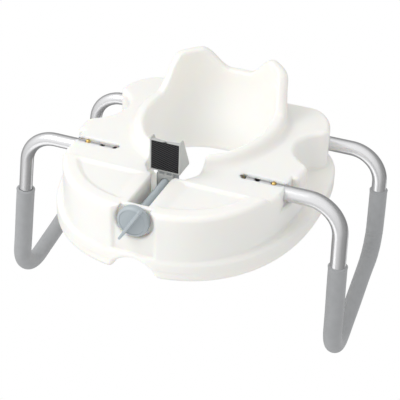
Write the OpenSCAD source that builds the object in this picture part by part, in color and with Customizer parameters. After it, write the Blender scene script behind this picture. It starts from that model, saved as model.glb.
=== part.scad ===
// Raised toilet seat with removable arms and a front clamp.
// Frame: millimetres, +Z up as the seat is used, front (the knob) at -Y.
// The origin is at the centre of the bowl opening, on the plane that rests on the bowl's rim.

/* [Seat] */
// Height from the bowl's rim to the top of the seat
lift = 105; // [95:1:115]
// Width of the seat's deck
deck_w = 428; // [420:1:440]
// Thickness of the deck's edge
deck_edge = 36; // [30:1:40]
// Width of the bowl opening
open_w = 202; // [190:1:206]
// Length of the bowl opening, front to back
open_l = 276; // [266:1:280]
// Thickness of the splash guard's double wall
guard_t = 22.5; // [18:0.5:23]

/* [Arms] */
// Outer diameter of the arm tubes
tube_d = 22.2; // [20:0.1:22.4]
// Wall of the arm tubes
tube_wall = 1.5; // [1.2:0.1:2]
// Distance from the middle of the seat to where a leg starts
arm_x = 267; // [262:1:272]
// Height of an armrest's centre line at the front
arm_front_z = 322; // [300:1:330]
// Height of an armrest's centre line at the back
arm_rear_z = 250; // [240:1:260]
// Outward lean of the left arm in degrees
splay_left = 6; // [2:0.5:7]
// Outward lean of the right arm in degrees
splay_right = 2; // [2:0.5:7]
// Radius of the bends' centre line
bend_r = 56; // [50:1:60]
// Outer diameter of the foam sleeves
foam_d = 31; // [29:0.5:33]

/* [Clamp] */
// Diameter of the knob's disc
knob_d = 50.8; // [44:0.2:53]
// Angle of the knob's blade in degrees
blade_angle = 58; // [0:1:180]
// Diameter of the clamp's coarse plastic screw
screw_d = 14; // [13:0.5:14.5]
// Width of the clamp's rubber pad
pad_w = 45; // [40:1:48]
// Height of the clamp's rubber pad
pad_h = 48; // [44:1:54]

/* [Hidden] */
$fn = 64;

// Seat shell
ledge_z = lift - deck_edge;        // underside of the deck's edge
mid_y = -28;                       // widest place of the deck
deck_front = 281;                  // reach of the deck in front of mid_y
deck_rear = 193;                   // reach of the deck behind mid_y
lobe_drop = 8;                     // how far the two front lobes hang below the bowl plane
ridge_y = -192;                    // rear face of the lobes
wing_rear_y = 134;                 // rear face of the upper body
shelf_w = 352;                     // rear shelf that holds the rear tubes
shelf_z = 44;                      // underside of the rear shelf that holds the rear tubes
scallop_r = 64;                    // radius of the hollow in each side
scallop_x = 217;
panel_w = 66;                      // front panel between the lobes
face_y = -302;                     // face of the panel
panel_y = -292;                    // floor of the knob's round recess in it
panel_t = 7;
trough_w = 32;                     // trough that the clamp's shoe slides in
trough_z = 34;
funnel = 42;                       // how far the opening's rear wall leans forward
throat_w = 88;                     // gap in the front of the splash guard

// Arms
front_y = -133;
front_z = 14;
rear_y = 135;
rear_z = 64;
tube_r = tube_d/2;
bore_r = tube_r + 0.08;            // socket, a running fit on the tube
bend_swell = 0.3;                  // a bend is a little fatter than the straight tube it joins
join = 1;                          // straight tube reaches this far into each bend
tube_end_x = 113;                  // inner end of each tube
socket_end_x = 104;
exit_x = 178;                      // outer end of the front socket's slot
slot_w = 18;
button_x = 157.5;
spare_hole_x = 132;
button_r = 3.9;
foam_front_z = 122;                // lower ends of the foam sleeve on the two legs
foam_rear_z = 133;
foam_bore_r = tube_r + 0.35;

// Clamp
screw_z = 12;
screw_r = screw_d/2;
run_fit = 0.05;
screw_end_y = -166;
knob_back_y = -297;
knob_front_y = -309;
blade_front_y = -322;
blade_reach = 30;
bushing_r = screw_r + 3.5;
washer_r = 13;
clip_r = 11;
pad_y = -190;                      // face of the rubber pad
pad_t = 4;
pad_edge = 2.5;                    // rim of the upright plate round the pad
pad_top = -11.2;
plate_top = -8.7;                  // the upright plate passes just under the lobes
plate_y = pad_y + pad_t;
plate_t = 3;
neck_w = 26;                       // neck of the bracket, inside the trough
neck_top = 27;
window_w = 8;                      // two windows in the neck
carriage_w = 31;                   // carriage that rides in the trough and holds the nut
carriage_t = 15;
carriage_z = [-1, 29];
nut_t = 8;
nut_flats = 22;
rivet_x = 10;
rivet_z = 23.6;

// A rounded oblong: |x/a|^n + |y/b|^n = 1, with its own reach and n in front and behind
function oblong(a, front, rear, n_front, n_rear, steps = 96) =
    [for (i = [0:steps - 1]) let (t = i*360/steps, b = t < 180 ? rear : front,
        n = t < 180 ? n_rear : n_front)
        [a*sign(cos(t))*pow(abs(cos(t)), 2/n), b*sign(sin(t))*pow(abs(sin(t)), 2/n)]];

module block(lo, hi) {
    translate(lo) cube(hi - lo);
}

// Cylinder between two places on a line along X, Y or Z
module rod_x(x0, x1, r) { translate([x0, 0, 0]) rotate([0, 90, 0]) cylinder(r = r, h = x1 - x0); }
module rod_y(y0, y1, r) { translate([0, y0, 0]) rotate([-90, 0, 0]) cylinder(r = r, h = y1 - y0); }

module deck_outline() {
    translate([0, mid_y]) polygon(oblong(deck_w/2, deck_front, deck_rear, 2.35, 3));
}

module upper_outline() {
    difference() {
        intersection() {
            translate([0, mid_y]) polygon(oblong(deck_w/2 - 22, deck_front - 2, 180, 2.5, 3.9));
            translate([-deck_w, -400]) square([2*deck_w, 400 + wing_rear_y]);
        }
        for (s = [-1, 1]) translate([s*scallop_x, -2]) circle(r = scallop_r);
    }
}

module opening_outline(grow = 0) {
    polygon(oblong(open_w/2 + grow, open_l/2 + grow, open_l/2 + grow, 2, 2, 72));
}

// Rises smoothly from 0 at a to 1 at b
function ease(v, a, b) = pow(sin(90*min(1, max(0, (v - a)/(b - a)))), 2);

// How far the splash guard hangs below the bowl plane, seen from the side and from the front
function guard_side(y) = 19 + 57*ease(y, 36, 92);
function guard_rear(x) = 36 + 40*ease(abs(x), 16, 70);

module guard_ring() {
    far = 170;
    intersection() {
        translate([0, 0, -90]) linear_extrude(90 + shelf_z + 1) difference() {
            opening_outline(guard_t);
            opening_outline();
            translate([-throat_w/2, -200]) square([throat_w, 140]);
        }
        translate([-far, 0, 0]) rotate([90, 0, 90]) linear_extrude(2*far)
            polygon(concat([[far, 60], [-far, 60]], [for (y = [-far:10:far]) [y, -guard_side(y)]]));
        translate([0, far, 0]) rotate([90, 0, 0]) linear_extrude(2*far)
            polygon(concat([[far, 60], [-far, 60]], [for (x = [-far:10:far]) [x, -guard_rear(x)]]));
    }
}

// The opening, whose rear wall leans forward as it rises to the deck
module opening_cut() {
    intersection() {
        translate([0, 0, -90]) linear_extrude(lift + 120) opening_outline();
        translate([-open_w, 0, 0]) rotate([90, 0, 90]) linear_extrude(2*open_w) polygon([
            [-open_l, -95], [open_l/2 + 4, -95], [open_l/2 + 4, -10], [open_l/2 - funnel, lift],
            [open_l/2 - funnel, lift + 40], [-open_l, lift + 40]]);
    }
}

module trough_cut() {
    translate([0, 0, -20]) linear_extrude(20 + trough_z) polygon([
        [-trough_w/2, panel_y + panel_t], [trough_w/2, panel_y + panel_t], [trough_w/2, -202],
        [throat_w/2 - 12, -184], [throat_w/2, -160], [throat_w/2, -90],
        [-throat_w/2, -90], [-throat_w/2, -160], [-throat_w/2 + 12, -184], [-trough_w/2, -202]]);
}

module lobe_recess() {
    translate([0, 0, -lobe_drop - 1]) linear_extrude(6) intersection() {
        translate([0, mid_y]) polygon(oblong(deck_w/2 - 41, deck_front - 25, 170, 2.5, 5));
        union() for (s = [0, 1]) mirror([s, 0]) translate([30, -300]) square([130, 300 + ridge_y - 6]);
    }
}

module sockets() {
    for (s = [0, 1]) mirror([s, 0, 0]) {
        translate([0, front_y, front_z]) rod_x(socket_end_x, 240, bore_r);
        translate([0, rear_y, rear_z]) rod_x(socket_end_x, 240, bore_r);
        block([socket_end_x, front_y - slot_w/2, -20], [exit_x - 5, front_y + slot_w/2, front_z]);
        block([exit_x, front_y - 30, -20], [240, front_y + 30, front_z + bore_r + 5]);
    }
}

module seat_body() color("whitesmoke") difference() {
    union() {
        translate([0, 0, ledge_z]) linear_extrude(deck_edge) deck_outline();
        linear_extrude(ledge_z + 1) upper_outline();
        translate([0, 0, -lobe_drop]) linear_extrude(lobe_drop + 1) intersection() {
            upper_outline();
            translate([-deck_w, -400]) square([2*deck_w, 400 + ridge_y]);
        }
        translate([0, 0, shelf_z]) linear_extrude(ledge_z - shelf_z + 1) intersection() {
            translate([0, mid_y]) polygon(oblong(deck_w/2 + 12, deck_front, deck_rear + 12, 2.35, 3));
            translate([-shelf_w/2, 100]) square([shelf_w, 52]);
        }
        guard_ring();
    }
    block([-panel_w/2, -400, -20], [panel_w/2, face_y, ledge_z + 2]);
    translate([0, 0, screw_z]) rod_y(face_y - 20, panel_y, knob_d/2 + 4.6);
    opening_cut();
    translate([0, -330, lift + 8]) rod_y(0, 200, 37);
    trough_cut();
    lobe_recess();
    sockets();
    translate([0, 0, screw_z]) rod_y(panel_y - 1, -260, bushing_r + run_fit);
}

module screw_bushing() color("darkgray") translate([0, 0, screw_z]) difference() {
    rod_y(panel_y, panel_y + panel_t, bushing_r);
    rod_y(panel_y - 1, panel_y + panel_t + 1, screw_r + run_fit);
}

module knob() color("lightslategray") translate([0, 0, screw_z]) difference() {
    union() {
        rotate([90, 0, 0]) rotate_extrude() polygon([[0, -knob_back_y], [knob_d/2 - 1, -knob_back_y],
            [knob_d/2, -knob_back_y + 1.5], [knob_d/2, -knob_front_y - 3.5],
            [knob_d/2 - 3.5, -knob_front_y], [0, -knob_front_y]]);
        rod_y(knob_back_y - 1, panel_y - 1.2, washer_r - 1);
        rotate([0, -blade_angle, 0])
            block([-blade_reach, blade_front_y, -2], [blade_reach, knob_front_y + 3, 2]);
    }
    rod_y(-306, -280, screw_r);
}

module knob_screw() color("lightslategray") translate([0, 0, screw_z]) rod_y(-306, screw_end_y, screw_r);

module knob_washer() color("silver") translate([0, 0, screw_z]) difference() {
    rod_y(panel_y - 1.1, panel_y - 0.1, washer_r);
    rod_y(panel_y - 2, panel_y + 1, screw_r);
}

module screw_clip() color("dimgray") translate([0, 0, screw_z]) difference() {
    rod_y(panel_y + panel_t + 0.2, panel_y + panel_t + 1.4, clip_r);
    rod_y(panel_y + panel_t - 1, panel_y + panel_t + 3, screw_r);
}

module rivet_rods(r, y0, y1) {
    for (x = [-1, 1]) translate([x*rivet_x, 0, rivet_z]) rod_y(y0, y1, r);
}

function carriage_end() = plate_y + plate_t + carriage_t;

module clamp_slide() color("gray") difference() {
    block([-carriage_w/2, plate_y + plate_t, carriage_z[0]], [carriage_w/2, carriage_end(), carriage_z[1]]);
    translate([0, 0, screw_z]) rod_y(-300, -100, screw_r + 0.6);
    translate([0, carriage_end() - nut_t, screw_z]) rotate([-90, 30, 0])
        cylinder(r = (nut_flats + 0.2)/sqrt(3), h = nut_t + 1, $fn = 6);
    rivet_rods(1.8 + run_fit, plate_y, plate_y + plate_t + 6);
}

module clamp_nut() color("silver") translate([0, carriage_end() - nut_t + 0.1, screw_z]) difference() {
    rotate([-90, 30, 0]) cylinder(r = nut_flats/sqrt(3), h = nut_t - 0.1, $fn = 6);
    rod_y(-1, nut_t + 1, screw_r + run_fit);
}

// One side wall of the bracket: shallow at the pad's foot, deepest just behind the seat's lobes
module gusset() {
    foot = pad_top - pad_h - pad_edge;
    rotate([90, 0, 90]) linear_extrude(2.5) polygon([[pad_y + 1, foot], [pad_y + 13, foot - 2],
        [pad_y + 40, plate_top - 3.3], [pad_y + 38, plate_top], [pad_y + 1, plate_top]]);
}

module clamp_bracket() color("lightgray") difference() {
    union() {
        block([-pad_w/2 - pad_edge, pad_y + 1, pad_top - pad_h - pad_edge],
            [pad_w/2 + pad_edge, plate_y + plate_t, plate_top]);
        block([-neck_w/2, plate_y, plate_top - 1], [neck_w/2, plate_y + plate_t, neck_top]);
        translate([-pad_w/2 - pad_edge, 0, 0]) gusset();
        translate([pad_w/2, 0, 0]) gusset();
    }
    block([-pad_w/2, pad_y - 1, pad_top - pad_h], [pad_w/2, plate_y, pad_top]);
    for (s = [-1, 1]) block([s*6 - window_w/2, plate_y - 1, -7.7], [s*6 + window_w/2, plate_y + 5, -1.5]);
    translate([0, 0, screw_z]) rod_y(-300, -100, screw_r + 0.6);
    rivet_rods(1.8 + run_fit, plate_y - 1, plate_y + 6);
}

module bracket_rivets() color("silver") rivet_rods(1.8, plate_y, plate_y + plate_t + 5.5);

module clamp_pad() color([0.1, 0.1, 0.1])
    block([-pad_w/2 + 0.1, pad_y, pad_top - pad_h + 0.1], [pad_w/2 - 0.1, plate_y, pad_top - 0.1]);

// One arm, drawn for the +X side. A leg leans outward by splay; along a leg, w is measured from
// the front tube's height, and the armrest slopes from the front leg's top to the rear leg's top.
module leg_frame(splay) { translate([arm_x, 0, front_z]) rotate([0, splay, 0]) children(); }
function leg_w(z, splay) = (z - front_z)/cos(splay);

// Straight stretch from a to b in the leg's own plane, given as [y, w]; it reaches into a bend
// by more at each end
module plane_rod(a, b, r, more = [0, 0]) {
    d = b - a;
    u = d/norm(d);
    s = a - more[0]*u;
    translate([0, s[0], s[1]]) rotate([-atan2(d[0], d[1]), 0, 0])
        cylinder(r = r, h = norm(d) + more[0] + more[1]);
}

// Bend in the leg's plane at the corner c, from direction u1 to direction u2 in degrees from +w to +y
module plane_bend(c, u1, u2, r) {
    turn = u2 - u1;
    cut = bend_r*tan(turn/2);
    start = c - cut*[sin(u1), cos(u1)];
    centre = start + bend_r*[cos(u1), -sin(u1)];
    translate([0, centre[0], centre[1]]) rotate([90, 0, 90]) rotate([0, 0, 180 - u2])
        rotate_extrude(angle = turn) translate([bend_r, 0]) circle(r = r + bend_swell);
}

// Bend from a level stub into a leg
module stub_bend(splay, y, w, r) {
    turn = 90 - splay;
    cut = bend_r*tan(turn/2);
    x0 = arm_x + w*sin(splay);
    z0 = front_z + w*cos(splay);
    translate([x0 - cut, y, z0 + bend_r]) rotate([90, 0, 0]) rotate([0, 0, -90])
        rotate_extrude(angle = turn) translate([bend_r, 0]) circle(r = r + bend_swell);
}

module arm_path(splay, r, w_front, w_rear, more = 0) {
    f = [front_y, leg_w(arm_front_z, splay)];
    b = [rear_y, leg_w(arm_rear_z, splay)];
    rest = b - f;
    rest_dir = atan2(rest[0], rest[1]);
    u = rest/norm(rest);
    cut_f = bend_r*tan(rest_dir/2);
    cut_b = bend_r*tan((180 - rest_dir)/2);
    leg_frame(splay) {
        plane_rod([front_y, w_front], f - [0, cut_f], r, [more, join]);
        plane_rod(f + cut_f*u, b - cut_b*u, r, [join, join]);
        plane_rod([rear_y, w_rear], b - [0, cut_b], r, [more, join]);
        plane_bend(f, 0, rest_dir, r);
        plane_bend(b, rest_dir, 180, r);
    }
}

module arm_solid(splay, r, end_x) {
    cut = bend_r*tan((90 - splay)/2);
    w_rear = leg_w(rear_z, splay);
    arm_path(splay, r, cut, w_rear + cut, join);
    stub_bend(splay, front_y, 0, r);
    stub_bend(splay, rear_y, w_rear, r);
    translate([0, front_y, front_z]) rod_x(end_x, arm_x - cut + join, r);
    translate([0, rear_y, rear_z]) rod_x(end_x, arm_x + w_rear*sin(splay) - cut + join, r);
}

module arm_tube(splay) color("silver") difference() {
    arm_solid(splay, tube_r, tube_end_x);
    arm_solid(splay, tube_r - tube_wall, tube_end_x - 1);
    for (x = [button_x, spare_hole_x])
        translate([x, front_y, -5]) cylinder(r = button_r + 0.1, h = front_z + 5);
}

module grip(splay) color("darkgray") difference() {
    arm_path(splay, foam_d/2, leg_w(foam_front_z, splay), leg_w(foam_rear_z, splay));
    arm_path(splay, foam_bore_r, leg_w(foam_front_z, splay) - 1, leg_w(foam_rear_z, splay) - 1);
}

module button() color("goldenrod") translate([button_x, front_y, -0.6]) {
    translate([0, 0, button_r/2]) cylinder(r = button_r, h = 8);
    cylinder(r1 = button_r - 1.4, r2 = button_r, h = button_r/2);
}

// Leaf spring bent double: one leaf carries the button, the other rests on the tube's far wall
module button_spring() color("silver") {
    z0 = -0.6 + button_r/2 + 8;
    block([button_x - 22, front_y - 3, z0], [button_x + 5, front_y + 3, z0 + 0.5]);
    block([button_x - 22.5, front_y - 3, z0], [button_x - 22, front_y + 3, front_z + 8.5]);
    block([button_x - 22, front_y - 3, front_z + 8], [button_x + 5, front_y + 3, front_z + 8.5]);
}

module tube_plug(y, z) translate([0, y, z]) {
    rod_x(tube_end_x - 2.5, tube_end_x - 0.1, tube_r - 0.4);
    rod_x(tube_end_x - 1, tube_end_x + 9, tube_r - tube_wall - 0.05);
}

module tube_plugs() color("dimgray") {
    tube_plug(front_y, front_z);
    tube_plug(rear_y, rear_z);
}

module right_side() { mirror([1, 0, 0]) children(); }

seat_body();
screw_bushing();
knob();
knob_screw();
knob_washer();
screw_clip();
clamp_slide();
clamp_nut();
clamp_bracket();
bracket_rivets();
clamp_pad();
arm_tube(splay_left);  // arm_tube_left
right_side() arm_tube(splay_right);  // arm_tube_right
grip(splay_left);  // grip_left
right_side() grip(splay_right);  // grip_right
button();  // button_left
right_side() button();  // button_right
button_spring();  // button_spring_left
right_side() button_spring();  // button_spring_right
tube_plugs();  // tube_plugs_left
right_side() tube_plugs();  // tube_plugs_right
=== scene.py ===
import math

import bpy
import numpy as np
from bpy.props import FloatProperty, FloatVectorProperty, PointerProperty
from mathutils import Matrix, Vector


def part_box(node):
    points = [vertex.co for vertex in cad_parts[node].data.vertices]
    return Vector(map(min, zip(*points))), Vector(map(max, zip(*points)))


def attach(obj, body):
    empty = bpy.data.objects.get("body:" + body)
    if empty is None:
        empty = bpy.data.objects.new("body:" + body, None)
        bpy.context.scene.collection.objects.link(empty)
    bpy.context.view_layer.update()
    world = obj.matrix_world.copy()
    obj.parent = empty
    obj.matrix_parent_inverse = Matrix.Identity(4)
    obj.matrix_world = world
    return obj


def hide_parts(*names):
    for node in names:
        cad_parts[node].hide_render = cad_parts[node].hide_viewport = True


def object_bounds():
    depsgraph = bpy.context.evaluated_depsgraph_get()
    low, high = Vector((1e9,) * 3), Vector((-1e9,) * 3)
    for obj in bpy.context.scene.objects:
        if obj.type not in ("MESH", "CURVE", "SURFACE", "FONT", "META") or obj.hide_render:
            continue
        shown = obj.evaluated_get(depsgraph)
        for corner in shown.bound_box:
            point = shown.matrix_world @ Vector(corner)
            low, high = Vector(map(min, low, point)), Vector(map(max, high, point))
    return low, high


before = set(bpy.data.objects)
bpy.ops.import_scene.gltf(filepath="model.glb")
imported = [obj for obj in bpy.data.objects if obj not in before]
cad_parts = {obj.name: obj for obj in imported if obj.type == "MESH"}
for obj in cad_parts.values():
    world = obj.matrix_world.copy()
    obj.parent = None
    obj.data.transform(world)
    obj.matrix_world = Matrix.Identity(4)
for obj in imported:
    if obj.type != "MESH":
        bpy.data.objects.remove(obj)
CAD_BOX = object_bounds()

bl_info = {
    "name": "Raised Toilet Seat",
    "version": (1, 0, 0),
    "blender": (4, 5, 0),
    "location": "3D View > Sidebar > Raised Seat",
    "description": "Builds the shell, arms, foam sleeves and clamp of a raised toilet seat",
    "category": "Object",
}

# Sizes are in millimetres in the shapes below, and become metres when a mesh is made.
MM = 0.001
BODY_LO, BODY_HI = (np.array(c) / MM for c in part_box("seat_body"))

# Seat shell
DECK_TOP = BODY_HI[2]
DECK_HALF = BODY_HI[0]
DECK_SKIN = DECK_TOP - 20
LEDGE = DECK_TOP - 36
MID_Y = -28
DECK_FRONT = MID_Y - BODY_LO[1]
DECK_REAR = BODY_HI[1] - MID_Y
DECK_CORNERS = 2.35, 3
BODY_INSET, BODY_REAR = 21, 180
BODY_CORNERS = 2.5, 4
LOBE_DROP = 8
RIDGE_Y = -190
WING_REAR = 134
SCALLOP_X, SCALLOP_Y, SCALLOP_R = 217, -2, 64
SHELF_HALF, SHELF_FRONT, SHELF_REAR, SHELF_Z = 176, 100, 152, 45
OPEN_HALF, OPEN_REACH = 101, 138
FUNNEL = 44
SCOOP_R, SCOOP_RISE = 37, 8
GUARD_WALL, GUARD_FRONT_WALL = 22.5, 15
GUARD_GAP = 44
GUARD_TOP = 40

# Front panel and trough
PANEL_Y = -302
PANEL_HALF = 33
SCREW_Z = 12
KNOB_RECESS_R, KNOB_RECESS_Y = 30, -293
SCREW_HOLE_R = 10.8
TROUGH_FRONT, TROUGH_REAR, TROUGH_Z = -285, -80, 34
TROUGH_HALF, TROUGH_WIDEN = 16, 28

# Arms
ARM_X = 267
FRONT_Y, FRONT_Z = -133, 14
REAR_Y, REAR_Z = 135, 64
TUBE_R = 11.1
TUBE_WALL = 1.5
TUBE_END = 113
SOCKET_END = 101.5
SLOT_IN, SLOT_OUT, SLOT_HALF = 105, 173, 8.2
MOUTH_X, MOUTH_HALF = 178.5, 27
REST_FRONT_Z, REST_REAR_Z = 322, 250
BEND_R = 56
BUTTON_X, SPARE_HOLE_X = 157.5, 132
BUTTON_HOLE_R = 4.1
FOAM_FRONT_Z, FOAM_REAR_Z = 122, 133
FOAM_BORE_R = 11.5
SPLAY = {"left": 6.0, "right": 2.0}
SIDE = {"left": 1, "right": -1}
AROUND = 64

# Knob and bracket
KNOB_FRONT, KNOB_BACK = -309, -297
BLADE_REACH = 29.6
PLATE_TOP = -8.7
SIDE_WALL, SIDE_REACH = 2.5, 40
WINDOW_X = 6


# ------------------------------------------------------------------ settings

class ShellSettings(bpy.types.PropertyGroup):
    cell: FloatProperty(name="Fineness", description="Spacing of the lattice the shell is skinned on",
                        default=0.0025, min=0.002, max=0.006, unit="LENGTH")
    deck_round: FloatProperty(name="Deck edge", description="Rounding of the deck's top edge",
                              default=0.010, unit="LENGTH")
    lobe_round: FloatProperty(name="Lobe edge", description="Rounding of the underside's outer edge",
                              default=0.008, unit="LENGTH")
    rim_round: FloatProperty(name="Guard rim", description="Rounding of the splash guard's rim",
                             default=0.0056, unit="LENGTH")
    colour: FloatVectorProperty(name="Colour", description="Colour of the moulded shell",
                                default=(0.905, 0.9, 0.872), subtype="COLOR", min=0, max=1)


class ArmSettings(bpy.types.PropertyGroup):
    foam_leg: FloatProperty(name="Sleeve on the legs", description="Outer radius of the foam on the legs",
                            default=0.0153, unit="LENGTH")
    foam_rest: FloatProperty(name="Sleeve on the rest", description="Outer radius of the foam on the armrest",
                             default=0.0142, unit="LENGTH")
    wrinkle: FloatProperty(name="Wrinkles", description="Depth of the folds inside the foam's bends",
                           default=0.0011, unit="LENGTH")
    foam_colour: FloatVectorProperty(name="Foam", description="Colour of the foam sleeves",
                                     default=(0.37, 0.378, 0.39), subtype="COLOR", min=0, max=1)
    tube_colour: FloatVectorProperty(name="Tube", description="Colour of the anodised tubes",
                                     default=(0.80, 0.80, 0.81), subtype="COLOR", min=0, max=1)


class ClampSettings(bpy.types.PropertyGroup):
    blade_angle: FloatProperty(name="Blade angle", description="Where the knob's blade points at rest",
                               default=math.radians(58), unit="ROTATION")
    pitch: FloatProperty(name="Thread", description="Lead of the clamp's screw", default=0.003, unit="LENGTH")
    rib_pitch: FloatProperty(name="Rib spacing", description="Spacing of the pad's slanting ribs",
                             default=0.0027, unit="LENGTH")
    knob_colour: FloatVectorProperty(name="Knob", description="Colour of the knob and screw",
                                     default=(0.44, 0.49, 0.52), subtype="COLOR", min=0, max=1)
    bracket_colour: FloatVectorProperty(name="Bracket", description="Colour of the clamp's bracket",
                                        default=(0.52, 0.53, 0.52), subtype="COLOR", min=0, max=1)


class StageSettings(bpy.types.PropertyGroup):
    azimuth: FloatProperty(name="Azimuth", description="Turn of the camera about the seat",
                           default=math.radians(-20.37), unit="ROTATION")
    elevation: FloatProperty(name="Elevation", description="The camera looks up from below",
                             default=math.radians(-32.10), unit="ROTATION")
    roll: FloatProperty(name="Roll", description="The camera is held upside down",
                        default=math.radians(182.27), unit="ROTATION")
    distance: FloatProperty(name="Distance", description="Camera to target", default=1.8493, unit="LENGTH")
    target: FloatVectorProperty(name="Target", description="Point the camera looks at",
                                default=(-0.0082, -0.0448, 0.1216), subtype="XYZ")
    lens: FloatProperty(name="Lens", description="Focal length", default=98.7, unit="CAMERA")
    ambient: FloatProperty(name="Ambient", description="Brightness of the white surroundings", default=0.83)
    key: FloatProperty(name="Key light", description="Power of the key light", default=22.0, unit="POWER")
    floor: FloatVectorProperty(name="Floor", description="Colour of the floor",
                               default=(0.80, 0.80, 0.79), subtype="COLOR", min=0, max=1)


SETTINGS = {"seat_shell": ShellSettings, "seat_arms": ArmSettings, "seat_clamp": ClampSettings,
            "seat_stage": StageSettings}


# ------------------------------------------------------------------ fields and meshes

def smooth(t):
    """Rises smoothly from 0 at t = 0 to 1 at t = 1."""
    t = np.clip(t, 0, 1)
    return t * t * (3 - 2 * t)


def both(a, b, r):
    """Where two distance fields are both negative, with the edge between them rounded to radius r."""
    u = np.maximum(a + r, 0)
    v = np.maximum(b + r, 0)
    return np.minimum(-r, np.maximum(a, b)) + np.sqrt(u * u + v * v)


def either(a, b, r):
    """Where either distance field is negative, with a fillet of radius r in the corner."""
    return -both(-a, -b, r)


def cut(a, b, r):
    """Field a with field b taken away, with the edge rounded to radius r."""
    return both(a, -b, r)


def slab(v, lo, hi):
    """Distance to the slab lo < v < hi, negative inside it."""
    return np.maximum(lo - v, v - hi)


def oblong(x, y, half, front, rear, n_front, n_rear):
    """Distance to |x/half|^n + |y/reach|^n = 1, where reach and n differ in front and behind:
    the level of the norm, less one, over the length of its slope."""
    reach = np.where(y < 0, front, rear)
    n = np.where(y < 0, n_front, n_rear)
    u = np.abs(x) / half + 1e-6
    v = np.abs(y) / reach + 1e-6
    g = (u ** n + v ** n) ** (1 / n)
    slope = g ** (1 - n) * np.hypot(u ** (n - 1) / half, v ** (n - 1) / reach)
    return (g - 1) / slope


def slope_of(field, p, h=0.25):
    """Slope of a field at points p, by central differences."""
    g = np.empty_like(p)
    for axis in range(3):
        step = np.zeros(3)
        step[axis] = h
        hi, lo = (p + step).T, (p - step).T
        g[:, axis] = (field(*hi) - field(*lo)) / (2 * h)
    return g


def skin(field, lo, hi, cell):
    """Skins the zero level of a distance field with quads: one vertex in each lattice cell that the
    surface crosses, at the mean of the cell's edge crossings, then slid down the field's slope onto
    the surface itself. Returns vertices, quads and unit normals."""
    axes = [np.linspace(a, b, int(round((b - a) / cell)) + 1) for a, b in zip(lo, hi)]
    xs, ys, zs = axes
    f = field(xs[:, None, None], ys[None, :, None], zs[None, None, :]).astype(np.float32)
    inside = f < 0
    count = np.zeros([n - 1 for n in f.shape], np.int8)
    corners = [(a, b, c) for a in (0, 1) for b in (0, 1) for c in (0, 1)]
    for a, b, c in corners:
        count += inside[a:a + count.shape[0], b:b + count.shape[1], c:c + count.shape[2]]
    active = (count > 0) & (count < 8)
    index = np.full(active.shape, -1, np.int64)
    index[active] = np.arange(active.sum())
    cells = np.argwhere(active)
    place = np.zeros((len(cells), 3))
    weight = np.zeros(len(cells))
    for p in corners:
        for axis in range(3):
            if p[axis]:
                continue
            q = list(p)
            q[axis] = 1
            i, j = cells + p, cells + q
            fi, fj = f[tuple(i.T)], f[tuple(j.T)]
            crossed = (fi < 0) != (fj < 0)
            t = np.where(crossed, fi / np.where(crossed, fi - fj, 1), 0)
            a = np.stack([axes[k][i[:, k]] for k in range(3)], 1)
            b = np.stack([axes[k][j[:, k]] for k in range(3)], 1)
            place += np.where(crossed[:, None], a + t[:, None] * (b - a), 0)
            weight += crossed
    place /= weight[:, None]
    quads = []
    for axis in range(3):
        u, v = (axis + 1) % 3, (axis + 2) % 3
        lower = [slice(None)] * 3
        upper = [slice(None)] * 3
        lower[axis], upper[axis] = slice(0, -1), slice(1, None)
        for k in (u, v):
            lower[k] = upper[k] = slice(1, -1)
        start = inside[tuple(lower)]
        changed = np.argwhere(start != inside[tuple(upper)])
        outward = start[tuple(changed.T)]
        base = changed.copy()
        base[:, u] += 1
        base[:, v] += 1
        ring = []
        for du, dv in ((-1, -1), (0, -1), (0, 0), (-1, 0)):
            c = base.copy()
            c[:, u] += du
            c[:, v] += dv
            ring.append(index[tuple(c.T)])
        ring = np.stack(ring, 1)
        quads.append(np.where(outward[:, None], ring, ring[:, ::-1]))
    for _ in range(4):
        g = slope_of(field, place)
        step = field(*place.T) / np.maximum((g * g).sum(1), 0.05)
        place -= np.clip(step, -cell / 2, cell / 2)[:, None] * g
    g = slope_of(field, place)
    return place, np.concatenate(quads), g / np.maximum(np.linalg.norm(g, axis=1), 1e-9)[:, None]


def mesh_object(name, verts, quads, normals=None, uv=None, attributes=None):
    """A smooth mesh object in metres from millimetre vertices and quads."""
    mesh = bpy.data.meshes.new(name)
    quads = np.asarray(quads, np.int32)
    mesh.vertices.add(len(verts))
    mesh.vertices.foreach_set("co", (np.asarray(verts) * MM).astype(np.float32).ravel())
    mesh.loops.add(quads.size)
    mesh.loops.foreach_set("vertex_index", quads.ravel())
    mesh.polygons.add(len(quads))
    mesh.polygons.foreach_set("loop_start", np.arange(0, quads.size, quads.shape[1], dtype=np.int32))
    mesh.update(calc_edges=True)
    mesh.validate()
    mesh.shade_smooth()
    for key, values in (attributes or {}).items():
        layer = mesh.attributes.new(key, "FLOAT", "POINT")
        layer.data.foreach_set("value", np.asarray(values, np.float32))
    if uv is not None:
        layer = mesh.uv_layers.new(name="UVMap")
        layer.data.foreach_set("uv", uv[quads.ravel()].astype(np.float32).ravel())
    if normals is not None:
        mesh.normals_split_custom_set_from_vertices(normals.astype(np.float32))
    obj = bpy.data.objects.new(name, mesh)
    bpy.context.scene.collection.objects.link(obj)
    return obj


def grid_quads(rows, columns, close_rows=False, close_columns=True):
    """Quads of a rows by columns grid of vertices, joined round where asked."""
    r = np.arange(rows if close_rows else rows - 1)
    c = np.arange(columns if close_columns else columns - 1)
    r, c = np.meshgrid(r, c, indexing="ij")
    r2, c2 = (r + 1) % rows, (c + 1) % columns
    quads = np.stack([r * columns + c, r * columns + c2, r2 * columns + c2, r2 * columns + c], -1)
    return quads.reshape(-1, 4)


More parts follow.
